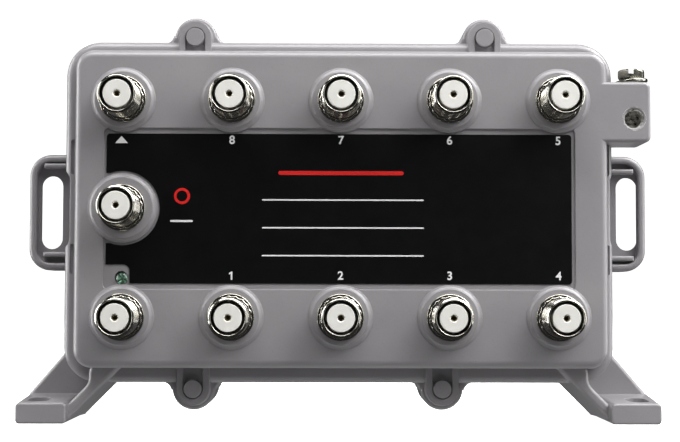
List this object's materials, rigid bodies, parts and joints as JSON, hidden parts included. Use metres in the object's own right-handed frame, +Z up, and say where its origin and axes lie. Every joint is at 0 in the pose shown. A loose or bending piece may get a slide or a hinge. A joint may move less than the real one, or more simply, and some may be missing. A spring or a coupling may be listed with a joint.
{
  "type": "tv signal amplifier",
  "caption": "Wall-mounted cast box amplifier for coaxial cable, with threaded ports, a label panel, a status lamp, slotted ears and feet, and a ground wire clamp screw.",
  "frame": {"origin": "middle of the overall box in plan, on the soles of the feet", "axes": "+Z up, +X to the right of someone facing the ports, the ports point to -Y"},
  "size_m": [0.1634, 0.0402, 0.1024],
  "materials": {
    "cast_paint": "semi-gloss baked paint over a die casting",
    "back_plate": "semi-gloss paint",
    "gasket_rubber": "matte",
    "screw_steel": "zinc plated",
    "board_laminate": "satin solder mask",
    "label_print": "smooth satin film",
    "lamp_lens": "clear tinted",
    "moulded_black": "matte moulding",
    "tinned_sheet": "tinned",
    "coil_copper": "enamelled copper wire",
    "ferrite": "sintered",
    "can_sleeve": "sleeve",
    "arrester_ceramic": "glazed ceramic",
    "port_nickel": "nickel plate over brass",
    "port_insulator": "smooth moulding",
    "contact_plated": "plated",
    "ground_plated": "bright zinc plate"
  },
  "bodies": {
    "base": {"front_housing": "cast_paint", "back_cover": "back_plate", "cover_gasket": "gasket_rubber", "cover_screws": "screw_steel", "circuit_board": "board_laminate", "board_screws": "screw_steel", "front_label": "label_print", "status_lamp": "lamp_lens", "bypass_relay": "moulded_black", "filter_shield": "tinned_sheet", "filter_coils": "coil_copper", "forward_amplifier": "moulded_black", "return_amplifier": "moulded_black", "power_choke": "ferrite", "filter_capacitor": "can_sleeve", "voltage_regulator": "moulded_black", "surge_arrester": "arrester_ceramic", "splitter_core_1": "ferrite", "splitter_core_2": "ferrite", "splitter_core_3": "ferrite", "splitter_core_4": "ferrite", "splitter_core_5": "ferrite", "splitter_core_6": "ferrite", "splitter_core_7": "ferrite", "port_8_shell": "port_nickel", "port_8_insulator": "port_insulator", "port_8_contact": "contact_plated", "port_7_shell": "port_nickel", "port_7_insulator": "port_insulator", "port_7_contact": "contact_plated", "port_6_shell": "port_nickel", "port_6_insulator": "port_insulator", "port_6_contact": "contact_plated", "port_5_shell": "port_nickel", "port_5_insulator": "port_insulator", "port_5_contact": "contact_plated", "port_1_shell": "port_nickel", "port_1_insulator": "port_insulator", "port_1_contact": "contact_plated", "port_2_shell": "port_nickel", "port_2_insulator": "port_insulator", "port_2_contact": "contact_plated", "port_3_shell": "port_nickel", "port_3_insulator": "port_insulator", "port_3_contact": "contact_plated", "port_4_shell": "port_nickel", "port_4_insulator": "port_insulator", "port_4_contact": "contact_plated", "port_input_shell": "port_nickel", "port_input_insulator": "port_insulator", "port_input_contact": "contact_plated", "port_passive_shell": "port_nickel", "port_passive_insulator": "port_insulator", "port_passive_contact": "contact_plated", "port_power_shell": "port_nickel", "port_power_insulator": "port_insulator", "port_power_contact": "contact_plated"},
    "clamp_washer": {"ground_washer": "ground_plated"},
    "ground_screw": {"ground_screw": "ground_plated"}
  },
  "joints": [
    {"name": "ground_screw_lift", "type": "slide", "parent": "base", "child": "clamp_washer", "axis": [0, 0, 1], "range_m": [0, 0.0047]},
    {"name": "ground_screw_turn", "type": "hinge", "parent": "clamp_washer", "child": "ground_screw", "pos_m": [0.07365, -0.0012, 0.0875], "axis": [0, 0, 1], "range_deg": [-10, 2140]}
  ],
  "couplings": [
    {"joint": "ground_screw_turn", "follows": "ground_screw_lift", "rad_per_m": 7913.3}
  ]
}
